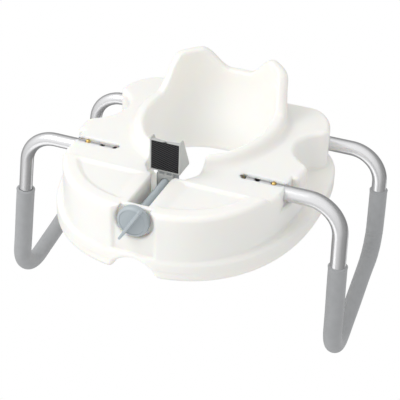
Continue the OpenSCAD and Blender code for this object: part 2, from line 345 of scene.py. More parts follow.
def lathe(profile, around, centre):
    """Turns a profile of (height, radius) pairs about an upright axis through centre. Its first and
    last radius are near zero, so that they close the ends."""
    height, radius = np.asarray(profile, float).T
    t = np.linspace(0, 2 * math.pi, around, endpoint=False)
    a, b = radius[:, None] * np.cos(t), radius[:, None] * np.sin(t)
    h = np.broadcast_to(height[:, None], a.shape)
    return np.stack((a, b, h), -1).reshape(-1, 3) + centre, grid_quads(len(height), around)


# ------------------------------------------------------------------ materials

def nodes_of(name):
    """A new material with its node tree and its shader."""
    mat = bpy.data.materials.new(name)
    mat.use_nodes = True
    tree = mat.node_tree
    return mat, tree, tree.nodes["Principled BSDF"]


def add_node(tree, kind, **values):
    """Adds a node. Each value goes to the socket of that name, or else to the node's own setting."""
    node = tree.nodes.new(kind)
    for key, value in values.items():
        if key in node.inputs:
            node.inputs[key].default_value = value
        else:
            setattr(node, key, value)
    return node


def noise(tree, scale, detail=3.0, coordinate="Object", stretch=(1, 1, 1)):
    """Noise on the piece's own coordinates; stretch sets how much finer it is along each axis."""
    where = add_node(tree, "ShaderNodeTexCoord")
    mapping = add_node(tree, "ShaderNodeMapping")
    mapping.inputs["Scale"].default_value = stretch
    grain = add_node(tree, "ShaderNodeTexNoise", Scale=scale, Detail=detail, Roughness=0.55)
    tree.links.new(where.outputs[coordinate], mapping.inputs["Vector"])
    tree.links.new(mapping.outputs["Vector"], grain.inputs["Vector"])
    return grain.outputs["Fac"]


def spread(tree, source, lo, hi):
    """Stretches the middle of a 0 to 1 value, from 0.3 to 0.7, to lo to hi."""
    node = add_node(tree, "ShaderNodeMapRange")
    node.inputs["From Min"].default_value = 0.3
    node.inputs["From Max"].default_value = 0.7
    node.inputs["To Min"].default_value = lo
    node.inputs["To Max"].default_value = hi
    tree.links.new(source, node.inputs["Value"])
    return node.outputs["Result"]


def two_tone(tree, source, a, b):
    """Mixes two colours by a 0 to 1 value."""
    node = add_node(tree, "ShaderNodeMix", data_type="RGBA")
    colour_a, colour_b = node.inputs[6], node.inputs[7]
    colour_a.default_value = (*a, 1)
    colour_b.default_value = (*b, 1)
    tree.links.new(source, node.inputs[0])
    return node.outputs[2]


def bump(tree, height, strength, distance, below=None):
    """Raises the surface's look by a height, on top of any relief below it."""
    node = add_node(tree, "ShaderNodeBump", Strength=strength, Distance=distance)
    tree.links.new(height, node.inputs["Height"])
    if below is not None:
        tree.links.new(below, node.inputs["Normal"])
    return node.outputs["Normal"]


def shade(colour, factor):
    """The colour times a factor, up to full brightness."""
    return tuple(min(1.0, c * factor) for c in colour)


def moulded_plastic(name, colour, roughness, grain=900.0, relief=0.00003, mottle=0.985, uneven=1.0):
    """Moulded plastic: faint cloudiness in the colour, uneven gloss and a very fine skin texture."""
    mat, tree, shader = nodes_of(name)
    shader.inputs["IOR"].default_value = 1.5
    cloud = spread(tree, noise(tree, 14.0), 0, 1)
    tree.links.new(two_tone(tree, cloud, colour, shade(colour, mottle)), shader.inputs["Base Color"])
    gloss = spread(tree, noise(tree, 45.0), roughness - 0.04 * uneven, roughness + 0.06 * uneven)
    tree.links.new(gloss, shader.inputs["Roughness"])
    waves = bump(tree, noise(tree, 28.0, 2.0), 0.12, 0.0006)
    tree.links.new(bump(tree, noise(tree, grain, 2.0), 0.25, relief, waves), shader.inputs["Normal"])
    return mat


def shell_plastic(colour):
    """The blow-moulded shell: white plastic with a slightly wavy skin and a fine parting line
    round the outside of the deck, where the two halves of the mould met."""
    mat = moulded_plastic("shell_plastic", colour, 0.32, grain=700.0, relief=0.00002,
                          mottle=0.997, uneven=0.2)
    tree = mat.node_tree
    shader = tree.nodes["Principled BSDF"]
    shader.subsurface_method = "RANDOM_WALK"
    shader.inputs["Subsurface Weight"].default_value = 0.45
    shader.inputs["Subsurface Radius"].default_value = (1.0, 0.72, 0.45)
    shader.inputs["Subsurface Scale"].default_value = 0.016
    place = add_node(tree, "ShaderNodeTexCoord")
    split = add_node(tree, "ShaderNodeSeparateXYZ")
    tree.links.new(place.outputs["Object"], split.inputs["Vector"])
    band = add_node(tree, "ShaderNodeMath", operation="COMPARE")
    band.inputs[1].default_value = DECK_SKIN * MM
    band.inputs[2].default_value = 0.0004
    tree.links.new(split.outputs["Z"], band.inputs[0])
    wall = add_node(tree, "ShaderNodeAttribute", attribute_name="outer_wall")
    line = add_node(tree, "ShaderNodeMath", operation="MULTIPLY")
    tree.links.new(band.outputs["Value"], line.inputs[0])
    tree.links.new(wall.outputs["Fac"], line.inputs[1])
    before = shader.inputs["Normal"].links[0].from_socket
    tree.links.new(bump(tree, line.outputs["Value"], 0.5, 0.0003, before), shader.inputs["Normal"])
    return mat


def anodised(name, colour):
    """Anodised drawn tube: fine draw lines along its length, from its own UV map."""
    mat, tree, shader = nodes_of(name)
    shader.inputs["Metallic"].default_value = 1.0
    lines = noise(tree, 60.0, 4.0, "UV", (0.6, 9.0, 1.0))
    tree.links.new(two_tone(tree, spread(tree, lines, 0, 1), colour, shade(colour, 0.93)),
                   shader.inputs["Base Color"])
    tree.links.new(spread(tree, lines, 0.20, 0.31), shader.inputs["Roughness"])
    tree.links.new(bump(tree, lines, 0.10, 0.0001), shader.inputs["Normal"])
    return mat


def foam(colour):
    """Closed-cell foam skin: tiny pores, faint longer streaks and a soft sheen."""
    mat, tree, shader = nodes_of("foam")
    shader.inputs["IOR"].default_value = 1.4
    shader.inputs["Sheen Weight"].default_value = 0.12
    shader.inputs["Sheen Roughness"].default_value = 0.6
    cloud = spread(tree, noise(tree, 60.0, 5.0), 0, 1)
    tree.links.new(two_tone(tree, cloud, colour, shade(colour, 0.92)), shader.inputs["Base Color"])
    tree.links.new(spread(tree, noise(tree, 180.0), 0.52, 0.68), shader.inputs["Roughness"])
    soft = bump(tree, noise(tree, 120.0, 3.0), 0.25, 0.0004)
    tree.links.new(bump(tree, noise(tree, 1400.0, 2.0), 0.45, 0.00012, soft), shader.inputs["Normal"])
    return mat


def plated(name, colour, roughness):
    """Plated or hardened metal with fine scuffs."""
    mat, tree, shader = nodes_of(name)
    shader.inputs["Metallic"].default_value = 1.0
    scuff = noise(tree, 320.0, 5.0)
    tree.links.new(two_tone(tree, spread(tree, scuff, 0, 1), colour, shade(colour, 0.86)),
                   shader.inputs["Base Color"])
    tree.links.new(spread(tree, scuff, roughness - 0.06, roughness + 0.12), shader.inputs["Roughness"])
    tree.links.new(bump(tree, scuff, 0.15, 0.00008), shader.inputs["Normal"])
    return mat


def ribbed_rubber_crest_sheen_and_wear():
    """Black rubber whose rib crests are painted paler, a painted highlight together with rubbed wear, from
    the pad's own crest attribute.
    """
    mat, tree, shader = nodes_of("ribbed_rubber_crest_sheen_and_wear")
    shader.inputs["IOR"].default_value = 1.45
    crest = add_node(tree, "ShaderNodeAttribute", attribute_name="crest")
    # Paler colour on the crests: painted highlight along the ribs, together with rubbed wear.
    tree.links.new(two_tone(tree, crest.outputs["Fac"], (0.004, 0.004, 0.005), (0.06, 0.06, 0.064)),
                   shader.inputs["Base Color"])
    shader.inputs["Specular IOR Level"].default_value = 0.3
    tree.links.new(spread(tree, noise(tree, 500.0), 0.6, 0.75), shader.inputs["Roughness"])
    tree.links.new(bump(tree, noise(tree, 1500.0), 0.3, 0.0001), shader.inputs["Normal"])
    return mat


def give(obj, mat):
    """Makes mat the object's only material."""
    obj.data.materials.clear()
    obj.data.materials.append(mat)


# ------------------------------------------------------------------ seat shell

def guard_depth(angle):
    """How far the splash guard hangs below the bowl's rim at an angle from the rear, in degrees: a
    low rim, deeper behind, with a tall blunt horn on each side of the rear."""
    return 19 + 17 * smooth((74 - angle) / 24) + 40 * smooth((angle - 8) / 28) * smooth((76 - angle) / 21)


def guard_field(x, y, z, rim_round):
    """The splash guard: a thick collar round the opening, thinner in front, whose horns flare out
    a little at the top. The rim's distance is scaled by its slope so that its rounding stays even."""
    angle = np.degrees(np.arctan2(np.abs(x) / OPEN_HALF, y / OPEN_REACH))
    slope = (guard_depth(angle + 1) - guard_depth(angle - 1)) / 4.4
    wall = GUARD_FRONT_WALL + (GUARD_WALL - GUARD_FRONT_WALL) * smooth((122 - angle) / 45)
    wall = wall + 2.5 * smooth((-z - 42) / 28)
    outside = oblong(x, y, OPEN_HALF, OPEN_REACH, OPEN_REACH, 2, 2) - wall
    rim = (-guard_depth(angle) - z) / np.sqrt(1 + slope ** 2)
    return both(outside, rim, rim_round)


def underside(x, y):
    """Height of the shell's underside: flat on the bowl's rim, lower over the two front lobes, each
    with a shallow D-shaped recess."""
    lobe = smooth((RIDGE_Y + 5 - y) / 13)
    recess = oblong(x, y - MID_Y, DECK_HALF - 40, DECK_FRONT - 25, 170, 2.5, 5)
    recess = both(recess, y + 199, 10)
    recess = both(recess, (27 - np.abs(x)) * 0.45, 5)
    return -LOBE_DROP * lobe + 4 * smooth(0.15 - recess / 10)


def deck_plan(x, y):
    """Distance to the deck's outline."""
    return oblong(x, y - MID_Y, DECK_HALF, DECK_FRONT, DECK_REAR, *DECK_CORNERS)


def deck_field(x, y, z, edge):
    """The deck: a plate with a rounded edge that stands out all round, down to the ledge."""
    deck = both(deck_plan(x, y), z - DECK_TOP, edge)
    return both(deck, LEDGE - z, 7)


def body_field(x, y, z, edge):
    """The body under the deck: narrower, cut off straight behind, with a round scallop in each side,
    and with the shelf that holds the rear sockets."""
    ax = np.abs(x)
    plan = oblong(x, y - MID_Y, DECK_HALF - BODY_INSET, DECK_FRONT - 2, BODY_REAR, *BODY_CORNERS)
    plan = both(plan, y - WING_REAR, 9)
    plan = cut(plan, np.hypot(ax - SCALLOP_X, y - SCALLOP_Y) - SCALLOP_R, 12)
    body = both(plan, underside(x, y) - z, edge)
    body = np.maximum(body, z - DECK_SKIN)
    shelf = both(both(deck_plan(x, y) - 12, ax - SHELF_HALF, 6), SHELF_FRONT - y, 6)
    shelf = np.maximum(both(both(shelf, y - SHELF_REAR, 6), SHELF_Z - z, 6), z - DECK_SKIN)
    return either(body, shelf, 3)


def cut_trough(whole, x, y, z):
    """Takes the clamp's trough out of the shell. It widens towards the opening."""
    half = TROUGH_HALF + TROUGH_WIDEN * smooth((y + 206) / 50)
    trough = np.maximum(np.abs(x) - half, slab(y, TROUGH_FRONT, TROUGH_REAR))
    trough = np.maximum(trough, z - TROUGH_Z)
    return cut(whole, trough, 3)


def cut_opening(whole, x, y, z, edge):
    """Takes out the opening, whose rear wall leans forward towards the deck, and the front scoop."""
    rear = OPEN_REACH - FUNNEL * smooth((z + 30) / (DECK_TOP + 30))
    hole = oblong(x, y, OPEN_HALF, OPEN_REACH, rear, 2, 2.3)
    whole = both(whole, -hole, edge + 8 * smooth((z - 60) / 30))
    scoop = np.maximum(np.hypot(x, z - DECK_TOP - SCOOP_RISE) - SCOOP_R, y)
    return cut(whole, scoop, 7)


def cut_front(whole, x, y, z):
    """Trims the shell back round the front panel, and cuts the knob's recess and the screw's hole."""
    ax = np.abs(x)
    face = PANEL_Y - 4 * smooth((ax - PANEL_HALF + 4) / 10) - 30 * smooth((ax - PANEL_HALF - 4) / 8)
    face = face - 14 * smooth((z - LEDGE + 2) / 6)
    whole = both(whole, (face - y) * 0.8, 1.5)
    rho = np.hypot(x, z - SCREW_Z)
    whole = cut(whole, np.maximum(rho - KNOB_RECESS_R, slab(y, -330, KNOB_RECESS_Y)), 3.5)
    return cut(whole, np.maximum(rho - SCREW_HOLE_R, slab(y, -320, -275)), 0.8)


def cut_sockets(whole, x, y, z):
    """Cuts the arms' sockets: a front bore that a slot opens from below, a wide mouth where the tube
    leaves the shell, and a rear bore."""
    ax = np.abs(x)
    bore = np.hypot(y - FRONT_Y, z - FRONT_Z) - TUBE_R - 0.5
    slot = both(slab(ax, SLOT_IN, SLOT_OUT), np.abs(y - FRONT_Y) - SLOT_HALF, 6)
    slot = np.maximum(slot, z - FRONT_Z)
    mouth = np.maximum(MOUTH_X - ax, np.maximum(np.abs(y - FRONT_Y) - MOUTH_HALF, z - FRONT_Z - 17))
    whole = cut(whole, np.maximum(bore, SOCKET_END - ax), 1.2)
    whole = cut(whole, slot, 1.6)
    whole = cut(whole, mouth, 5)
    rear_bore = np.hypot(y - REAR_Y, z - REAR_Z) - TUBE_R - 0.6
    return cut(whole, np.maximum(rear_bore, SOCKET_END - ax), 2)


def shell_field(s):
    """Distance field of the whole shell: body, deck and guard joined by fillets, less what is cut."""
    deck_round, lobe_round, rim_round = (v / MM for v in (s.deck_round, s.lobe_round, s.rim_round))

    def field(x, y, z):
        whole = either(body_field(x, y, z, lobe_round), deck_field(x, y, z, deck_round), 4)
        guard = guard_field(x, y, z, 2 * rim_round)
        guard = both(guard, np.where(y < 0, GUARD_GAP - np.abs(x), -60.0), 5)
        guard = np.maximum(guard, z - GUARD_TOP)
        whole = either(whole, guard, 12)
        whole = cut_trough(whole, x, y, z)
        whole = cut_opening(whole, x, y, z, rim_round)
        whole = cut_front(whole, x, y, z)
        return cut_sockets(whole, x, y, z)

    return field


class SEAT_OT_shell(bpy.types.Operator):
    """Skin the blow-moulded seat shell"""
    bl_idname = "seat.shell"
    bl_label = "Seat shell"

    def execute(self, context):
        s = context.scene.seat_shell
        cell = s.cell / MM * 1
        verts, quads, normals = skin(shell_field(s), BODY_LO - 2.6 * cell, BODY_HI + 2.6 * cell, cell)
        verts = np.clip(verts, BODY_LO, BODY_HI)
        outer_wall = deck_plan(verts[:, 0], verts[:, 1]) > -1.0
        shell = mesh_object("seat_shell", verts, quads, normals, attributes={"outer_wall": outer_wall})
        give(shell, shell_plastic(s.colour))
        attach(shell, "seat")
        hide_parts("seat_body")
        return {"FINISHED"}


# ------------------------------------------------------------------ arms

def arm_corners(side):
    """Corners of one arm's centre line: inner end of the front tube, foot and top of the front leg,
    top and foot of the rear leg, inner end of the rear tube. The legs lean outward."""
    lean = math.tan(math.radians(SPLAY[side]))
    def leg(y, z):
        return [ARM_X + lean * (z - FRONT_Z), y, z]
    corners = [[TUBE_END, FRONT_Y, FRONT_Z], leg(FRONT_Y, FRONT_Z), leg(FRONT_Y, REST_FRONT_Z),
               leg(REAR_Y, REST_REAR_Z), leg(REAR_Y, REAR_Z), [TUBE_END, REAR_Y, REAR_Z]]
    return np.array(corners, float) * (SIDE[side], 1, 1)


def rounded_path(corners, radius, fine):
    """Straight stretches joined by arcs of one radius. Returns points, tangents, the direction
    towards each bend's centre (zero on straights) and the length along the path. fine(k) gives the
    step on straight stretch k."""
    points, tangents, inward = [], [], []
    last = corners[0]
    for k in range(1, len(corners)):
        into = corners[k] - corners[k - 1]
        into /= np.linalg.norm(into)
        if k == len(corners) - 1:
            stop = corners[k]
        else:
            out = corners[k + 1] - corners[k]
            out /= np.linalg.norm(out)
            turn = math.acos(np.clip(into @ out, -1, 1))
            stop = corners[k] - into * radius * math.tan(turn / 2)
        n = max(2, int(np.linalg.norm(stop - last) / fine(k)))
        t = np.linspace(0, 1, n, endpoint=False)[:, None]
        points.append(last + t * (stop - last))
        tangents.append(np.repeat(into[None], n, 0))
        inward.append(np.zeros((n, 3)))
        if k == len(corners) - 1:
            points.append(stop[None])
            tangents.append(into[None])
            inward.append(np.zeros((1, 3)))
            break
        normal = out - into * (into @ out)
        normal /= np.linalg.norm(normal)
        centre = stop + normal * radius
        n = int(radius * turn / 2.0)
        a = (np.arange(n) / n * turn)[:, None]
        points.append(centre + radius * (np.sin(a) * into - np.cos(a) * normal))
        tangents.append(np.cos(a) * into + np.sin(a) * normal)
        inward.append(np.cos(a) * normal - np.sin(a) * into)
        last = centre + radius * (math.sin(turn) * into - math.cos(turn) * normal)
    points, tangents, inward = map(np.concatenate, (points, tangents, inward))
    length = np.concatenate([[0], np.cumsum(np.linalg.norm(np.diff(points, axis=0), axis=1))])
    return points, tangents, inward, length


def frames(tangents, first):
    """Two unit directions across the path at each point, carried along it without twisting."""
    across = np.empty_like(tangents)
    u = first - tangents[0] * (first @ tangents[0])
    for i, t in enumerate(tangents):
        u = u - t * (u @ t)
        u /= np.linalg.norm(u)
        across[i] = u
    return across, np.cross(tangents, across)


def ring_directions(tangents, first):
    """The outward directions of a ring carried along a path, and the angles round it."""
    a, b = frames(tangents, np.array(first))
    t = np.linspace(0, 2 * math.pi, AROUND, endpoint=False)
    return np.cos(t)[None, :, None] * a[:, None] + np.sin(t)[None, :, None] * b[:, None], t


def open_holes(along, round_, holes, size, block, reach):
    """Moves a tube's grid so that a square block of its cells becomes a round hole: inside the block
    the squares turn into circles, and the change fades out over reach. Returns the moved
    coordinates and a mask of the vertices strictly inside a hole."""
    gone = np.zeros(along.shape, bool)
    for centre in holes:
        da, dr = along - centre, round_
        square = np.maximum(np.abs(da), np.abs(dr))
        true = np.maximum(np.hypot(da, dr), 1e-9)
        fade = np.clip((square - block) / (reach - block), 0, 1)
        scale = (1 - fade) * (size * np.maximum(square, block) / block) / true + fade
        near = square < reach
        gone |= square < block * 0.98
        along = np.where(near, centre + da * scale, along)
        round_ = np.where(near, dr * scale, round_)
    return along, round_, gone


def arm_tube(side):
    """One bent tube, swept as its outer skin with two round button holes, then given its wall."""
    step = 2 * math.pi * TUBE_R / AROUND
    corners = arm_corners(side)
    points, tangents, _, length = rounded_path(corners, BEND_R, lambda k: step if k == 1 else 4.0)
    a, b = frames(tangents, np.array([0, 0, -1.0]))
    turn = np.linspace(0, 2 * math.pi, AROUND, endpoint=False)
    turn = np.where(turn > math.pi, turn - 2 * math.pi, turn)
    along = np.repeat(length[:, None], AROUND, 1)
    round_ = np.repeat((turn * TUBE_R)[None], len(points), 0)
    holes = step * np.round((np.array([BUTTON_X, SPARE_HOLE_X]) - TUBE_END) / step)
    along, round_, gone = open_holes(along, round_, holes, BUTTON_HOLE_R, 4 * step, 8 * step)
    angle = round_ / TUBE_R
    base = points[:, None] + tangents[:, None] * (along - length[:, None])[..., None]
    verts = base + TUBE_R * (np.cos(angle)[..., None] * a[:, None] + np.sin(angle)[..., None] * b[:, None])
    quads = grid_quads(len(points), AROUND)
    quads = quads[~gone.reshape(-1)[quads].any(1)]
    if SIDE[side] < 0:
        quads = quads[:, ::-1]
    used = np.unique(quads)
    renumber = np.zeros(gone.size, np.int64)
    renumber[used] = np.arange(len(used))
    uv = np.stack([along / 100, np.abs(angle) / math.pi], -1).reshape(-1, 2)
    tube = mesh_object(f"arm_tube_skin_{side}", verts.reshape(-1, 3)[used], renumber[quads], uv=uv[used])
    wall = tube.modifiers.new("wall", "SOLIDIFY")
    wall.thickness = TUBE_WALL * MM
    wall.offset = -1
    return tube


def fix_outward(obj):
    """Turns the faces outwards if the closed mesh came out inside out."""
    mesh = obj.data
    co = np.empty(len(mesh.vertices) * 3)
    mesh.vertices.foreach_get("co", co)
    co = co.reshape(-1, 3)
    mesh.calc_loop_triangles()
    tri = np.empty(len(mesh.loop_triangles) * 3, np.int32)
    mesh.loop_triangles.foreach_get("vertices", tri)
    a, b, c = (co[tri.reshape(-1, 3)[:, k]] for k in range(3))
    if np.einsum("ij,ij->", a, np.cross(b, c)) < 0:
        mesh.flip_normals()


def sleeve_folds(side, along, turn, concave, n, rest_y, depth):
    """Depth of the folds in the foam: a few soft creases, each leaning a little, pressed into the
    inner side of the two bends."""
    rng = np.random.default_rng(7 if side == "left" else 11)
    bends = np.linalg.norm(n, axis=1) > 0
    rear_bend, front_bend = bends & (rest_y > 0), bends & (rest_y < 0)
    rear_strength = {"left": 0.25, "right": 1.0}[side]
    folds = np.zeros_like(concave)
    for bend, count, strength in ((rear_bend, 8, rear_strength), (front_bend, 4, 0.45)):
        lo, hi = along[bend].min() - 12, along[bend].max() + 8
        for centre in np.linspace(lo, hi, count) + rng.uniform(-2.5, 2.5, count):
            lean = rng.uniform(-3.0, 3.0)
            width = rng.uniform(1.1, 2.0)
            reach = rng.uniform(0.6, 1.0)
            line = along[:, None] - centre - lean * np.sin(turn)[None]
            folds -= depth * strength * reach * np.exp(-(line / width) ** 2) * (0.15 + concave)
    if side == "left":
        crease = along[front_bend].max() + 16
        folds -= 0.9 * np.exp(-((along[:, None] - crease) / 1.3) ** 2)
    return folds


def leg_point(points, tangents, on_leg, height):
    """Index of the point of a leg that is nearest to a height."""
    leg = np.flatnonzero((np.abs(tangents[:, 2]) > 0.98) & on_leg)
    return leg[np.argmin(np.abs(points[leg, 2] - height))]


def foam_sleeve(side, s):
    """One foam sleeve: a ring carried along the arm between its two lips, fatter on the legs than
    on the rest, folded inside its bends, and closed by its bore round the tube."""
    points, tangents, inward, length = rounded_path(arm_corners(side), BEND_R, lambda k: 2.0)
    first = leg_point(points, tangents, points[:, 1] < FRONT_Y + 1, FOAM_FRONT_Z)
    last = leg_point(points, tangents, points[:, 1] > REAR_Y - 1, FOAM_REAR_Z)
    take = slice(first, last + 1)
    p, n, along = points[take], inward[take], length[take] - length[first]
    on_rest = smooth((p[:, 1] - FRONT_Y - 10) / 60) * smooth((REAR_Y - 10 - p[:, 1]) / 60)
    radius = (s.foam_leg + (s.foam_rest - s.foam_leg) * on_rest) / MM
    ends = np.minimum(along, along[-1] - along)
    lip = 0.55 * np.exp(-((ends - 2.4) / 1.8) ** 2)
    edge = np.clip(ends / 2.2, 0, 1)
    radius = radius + lip - 2.2 * (1 - np.sqrt(1 - (1 - edge) ** 2))
    out, turn = ring_directions(tangents[take], (0, 1.0, 0))
    concave = np.clip(np.einsum("ijk,ik->ij", out, n), 0, 1)
    folds = sleeve_folds(side, along, turn, concave, n, p[:, 1], s.wrinkle / MM)
    slow = 0.18 * np.sin(along / 23.0 + 1.0)[:, None] * np.cos(turn + along[:, None] / 60.0)
    outer = p[:, None] + out * (radius[:, None] + folds + slow)[..., None]
    bore = p[::8, None] + out[::8] * FOAM_BORE_R
    bore = np.concatenate([bore, p[-1:, None] + out[-1:] * FOAM_BORE_R])[::-1]
    verts = np.concatenate([outer, bore]).reshape(-1, 3)
    rings = len(outer) + len(bore)
    uv = np.stack([np.concatenate([along, np.zeros(len(bore))])[:, None] / 100 + 0 * turn,
                   np.repeat((np.abs(turn - math.pi) / math.pi)[None], rings, 0)], -1).reshape(-1, 2)
    grip = mesh_object(f"foam_sleeve_{side}", verts, grid_quads(rings, AROUND, close_rows=True), uv=uv)
    fix_outward(grip)
    return grip


class SEAT_OT_tubes(bpy.types.Operator):
    """Sweep the two bent arm tubes"""
    bl_idname = "seat.tubes"
    bl_label = "Arm tubes"

    def execute(self, context):
        mat = anodised("anodised_tube", context.scene.seat_arms.tube_colour)
        for side in SIDE:
            tube = arm_tube(side)
            give(tube, mat)
            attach(tube, f"arm_{side}")
            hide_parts(f"arm_tube_{side}")
        return {"FINISHED"}


class SEAT_OT_sleeves(bpy.types.Operator):
    """Make the two foam sleeves with their folds and lips"""
    bl_idname = "seat.sleeves"
    bl_label = "Foam sleeves"

    def execute(self, context):
        s = context.scene.seat_arms
        mat = foam(s.foam_colour)
        for side in SIDE:
            grip = foam_sleeve(side, s)
            give(grip, mat)
            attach(grip, f"arm_{side}")
            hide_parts(f"grip_{side}")
        return {"FINISHED"}


class SEAT_OT_buttons(bpy.types.Operator):
    """Turn the two domed brass buttons"""
    bl_idname = "seat.buttons"
    bl_label = "Snap buttons"

    def execute(self, context):
        brass = plated("brass", (0.80, 0.56, 0.20), 0.24)
        for side in SIDE:
            lo, hi = (np.array(c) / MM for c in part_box(f"button_{side}"))
            centre = (lo + hi) / 2
            r, tip, top = (hi[0] - lo[0]) / 2, lo[2], hi[2]
            dome = np.linspace(0.02, math.pi / 2, 12)
            profile = [(tip + 2.6 * (1 - math.cos(a)), r * math.sin(a)) for a in dome]
            profile += [(tip + 3.4, r), (top - 0.3, r), (top, r - 0.3), (top, 0.02)]
            verts, quads = lathe(profile, 48, (centre[0], centre[1], 0))
            button = mesh_object(f"snap_button_{side}", verts, quads)
            fix_outward(button)
            give(button, brass)
            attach(button, f"button_{side}")
            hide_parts(f"button_{side}")
        return {"FINISHED"}


# ------------------------------------------------------------------ clamp

def knob_field(angle):
    """A disc with a bevelled rim and a hub behind it, and a thin tapering blade across its face."""
    lo, hi = (np.array(c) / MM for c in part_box("knob"))
    radius = (hi[0] - lo[0]) / 2
    ca, sa = math.cos(angle), math.sin(angle)

    def field(x, y, z):
        h = z - SCREW_Z
        rho = np.hypot(x, h)
        disc = both(rho - radius + 0.05 + 0.08 * np.maximum(y - KNOB_FRONT, 0), KNOB_FRONT - y, 1.2)
        bevel = (rho - radius + 3.6 + KNOB_FRONT - y) * 0.7071
        disc = both(both(disc, bevel, 1.0), y - KNOB_BACK, 0.8)
        dish = np.maximum(rho - radius + 5.5, y - KNOB_FRONT - 0.7)
        disc = cut(disc, dish, 0.8)
        along, across = x * ca + h * sa, h * ca - x * sa
        taper = 1.9 + 0.04 * (y - lo[1])
        blade = both(np.abs(across) - taper, np.abs(along) - BLADE_REACH, 1.4)
        blade = both(blade, lo[1] + 0.1 - y, 1.2)
        blade = np.maximum(blade, y - KNOB_FRONT - 3)
        hub = np.maximum(rho - 12, slab(y, KNOB_BACK - 2, hi[1]))
        screw_hole = np.maximum(rho - 6.9, -306 - y)
        whole = either(np.minimum(disc, hub), blade, 1.6)
        return np.maximum(whole, -screw_hole)

    return field, lo, hi


def screw_mesh(pitch):
    """A round rod whose radius follows a coarse rounded thread: it depends on the distance along the
    rod less the turn's share of the lead. The thread fades out at the knob end."""
    lo, hi = (np.array(c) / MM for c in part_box("knob_screw"))
    crest, y0, y1 = (hi[0] - lo[0]) / 2, lo[1], hi[1]
    along = np.arange(y0, y1 + 0.01, 0.3)
    around = 72
    turn = np.linspace(0, 2 * math.pi, around, endpoint=False)
    phase = along[:, None] / pitch - turn[None] / (2 * math.pi)
    tooth = smooth(0.5 + 1.3 * np.cos(2 * math.pi * phase) / 2)
    depth = 1.1 * smooth((along + 284) / 4)[:, None]
    radius = crest - depth * (1 - tooth)
    radius *= np.clip(np.sqrt(np.clip((y1 - along) / 1.5, 0, 1)), 0.02, 1)[:, None]
    radius[0] = 0.05
    verts = np.stack([radius * np.sin(turn), np.repeat(along[:, None], around, 1),
                      radius * np.cos(turn) + SCREW_Z], -1).reshape(-1, 3)
    return verts, grid_quads(len(along), around)


def bracket_field():
    """The clamp's bracket: an upright plate with a rim round the pad, two side walls that run back
    from it, and a neck with two windows and a hole for the screw."""
    lo, hi = (np.array(c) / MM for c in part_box("clamp_bracket"))
    pad_lo, pad_hi = (np.array(c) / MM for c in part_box("clamp_pad"))
    plate_back = pad_hi[1] + 3
    half = hi[0]

    def field(x, y, z):
        ax = np.abs(x)
        foot = pad_lo[2] - 2.4 + 1.6 * smooth(1 - ax / half)
        plate = both(both(ax - half, foot - z, 2.2), z - PLATE_TOP, 1.0)
        plate = both(plate, slab(y, pad_lo[1] + 1, plate_back), 0.7)
        pocket = both(ax - pad_hi[0] - 0.1, slab(z, pad_lo[2] - 0.1, pad_hi[2] + 0.1), 0.6)
        plate = cut(plate, np.maximum(pocket, y - pad_hi[1]), 0.4)
        slope = (y - pad_lo[1] - 13) * 0.89 + (pad_lo[2] - 4.5 - z) * 0.455
        wall = slab(ax, half - SIDE_WALL, half)
        side = both(slope, y - pad_lo[1] - SIDE_REACH, 2.5)
        side = both(side, pad_lo[1] + 1 - y, 1.0)
        side = both(both(side, z - PLATE_TOP, 1.2), lo[2] + 0.2 - z, 1.2)
        side = both(side, wall, 0.8)
        neck = both(ax - 13, slab(z, PLATE_TOP - 2, hi[2]), 1.5)
        neck = both(neck, slab(y, pad_hi[1], plate_back), 0.6)
        for centre in (-WINDOW_X, WINDOW_X):
            window = both(np.abs(x - centre) - 4, slab(z, -7.7, -1.5), 0.8)
            neck = cut(neck, window, 0.4)
        neck = cut(neck, np.hypot(x, z - SCREW_Z) - 7.7, 0.6)
        return either(either(plate, side, 1.0), neck, 0.5)

    return field, lo, hi


def pad_mesh(pitch):
    """A rubber pad whose front face is a fine grid raised in slanting ribs: the height is a
    flat-topped wave of the distance across the ribs. Its sides and back are plain."""
    lo, hi = (np.array(c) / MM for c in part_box("clamp_pad"))
    n, m = 121, 129
    u, v = np.linspace(lo[0], hi[0], n), np.linspace(lo[2], hi[2], m)
    u, v = np.meshgrid(u, v, indexing="ij")
    slant = math.radians(36)
    across = u * math.sin(slant) - v * math.cos(slant)
    crest = smooth(0.5 + 1.6 * (np.cos(2 * math.pi * across / pitch) - 0.35))
    border = np.minimum.reduce([u - lo[0], hi[0] - u, v - lo[2], hi[2] - v])
    crest = crest * smooth((border - 0.4) / 0.8)
    depth = lo[1] + 0.9 * (1 - crest)
    front = np.stack([u, depth, v], -1).reshape(-1, 3)
    back = np.stack([u, np.full_like(u, hi[1]), v], -1).reshape(-1, 3)
    index = np.arange(n * m).reshape(n, m)
    faces = grid_quads(n, m, close_columns=False)
    rim = np.concatenate([index[:, 0], index[-1, 1:], index[-2::-1, -1], index[0, -2:0:-1]])
    after = np.roll(rim, -1)
    sides = np.stack([rim, after, after + n * m, rim + n * m], 1)
    quads = np.concatenate([faces, faces[:, ::-1] + n * m, sides])
    return np.concatenate([front, back]), quads, np.concatenate([crest.ravel(), np.zeros(n * m)])


class SEAT_OT_knob(bpy.types.Operator):
    """Make the clamp's knob and its coarse screw"""
    bl_idname = "seat.knob"
    bl_label = "Knob and screw"

    def execute(self, context):
        s = context.scene.seat_clamp
        plastic = moulded_plastic("knob_plastic", s.knob_colour, 0.42, grain=1200.0,
                                  relief=0.00005, mottle=0.94)
        field, lo, hi = knob_field(s.blade_angle)
        cell = 0.75
        verts, quads, normals = skin(field, lo - 2, hi + 2, cell)
        knob = mesh_object("clamp_knob", np.clip(verts, lo, hi), quads, normals)
        screw = mesh_object("threaded_screw", *screw_mesh(s.pitch / MM))
        fix_outward(screw)
        for piece, node in ((knob, "knob"), (screw, "knob_screw")):
            give(piece, plastic)
            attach(piece, "knob")
            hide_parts(node)
        return {"FINISHED"}


